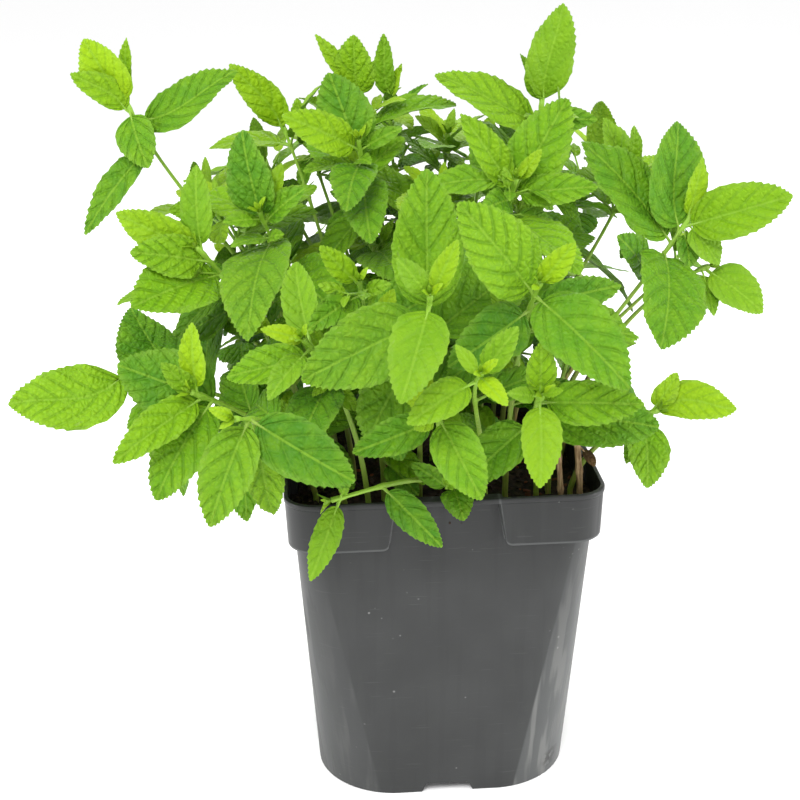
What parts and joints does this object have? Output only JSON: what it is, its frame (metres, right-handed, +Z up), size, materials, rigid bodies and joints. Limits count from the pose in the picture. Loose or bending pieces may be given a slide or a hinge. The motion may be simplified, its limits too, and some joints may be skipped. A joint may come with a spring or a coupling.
{
  "type": "potted mint plant",
  "caption": "Bushy mint plant with toothed leaves on square stems, growing in a square tapered plastic nursery pot filled with soil.",
  "frame": {"origin": "middle of the pot's underside, on the plane the pot stands on", "axes": "+Z up, along the pot's height; -Y towards the front, where the stem with the leaves that hang over the rim is; +X to the right seen from the front"},
  "size_m": [0.2729, 0.2386, 0.274],
  "materials": {
    "pot_plastic": "dark grey moulded plastic, slightly glossy, scuffed at the corners",
    "soil": "dark crumbly potting soil of peat and wood fibre",
    "mint": "fresh green puckered leaves, yellow-green where young, and light green stems",
    "dry_stem": "dry beige stem"
  },
  "bodies": {
    "root": {"pot": "pot_plastic", "soil": "soil", "leafy_stem_front_1": "mint", "leafy_stem_front_2": "mint", "leafy_stem_front_3": "mint", "leafy_stem_front_4": "mint", "leafy_stem_front_5": "mint", "leafy_stem_front_6": "mint", "leafy_stem_front_7": "mint", "leafy_stem_front_8": "mint", "leafy_stem_middle_1": "mint", "leafy_stem_middle_2": "mint", "leafy_stem_middle_3": "mint", "leafy_stem_middle_4": "mint", "leafy_stem_middle_5": "mint", "leafy_stem_middle_6": "mint", "leafy_stem_middle_7": "mint", "leafy_stem_right_1": "mint", "leafy_stem_right_2": "mint", "leafy_stem_right_3": "mint", "leafy_stem_right_4": "mint", "leafy_stem_right_5": "mint", "leafy_stem_right_6": "mint", "leafy_stem_left_1": "mint", "leafy_stem_left_2": "mint", "leafy_stem_left_3": "mint", "leafy_stem_left_4": "mint", "leafy_stem_left_5": "mint", "leafy_stem_left_6": "mint", "leafy_stem_left_7": "mint", "leafy_stem_left_8": "mint", "leafy_stem_left_9": "mint", "leafy_stem_left_10": "mint", "leafy_stem_left_11": "mint", "leafy_stem_back_1": "mint", "leafy_stem_back_2": "mint", "leafy_stem_back_3": "mint", "leafy_stem_back_4": "mint", "leafy_stem_back_5": "mint", "leafy_stem_back_6": "mint", "dry_stem_1": "dry_stem", "dry_stem_2": "dry_stem"}
  },
  "joints": []
}
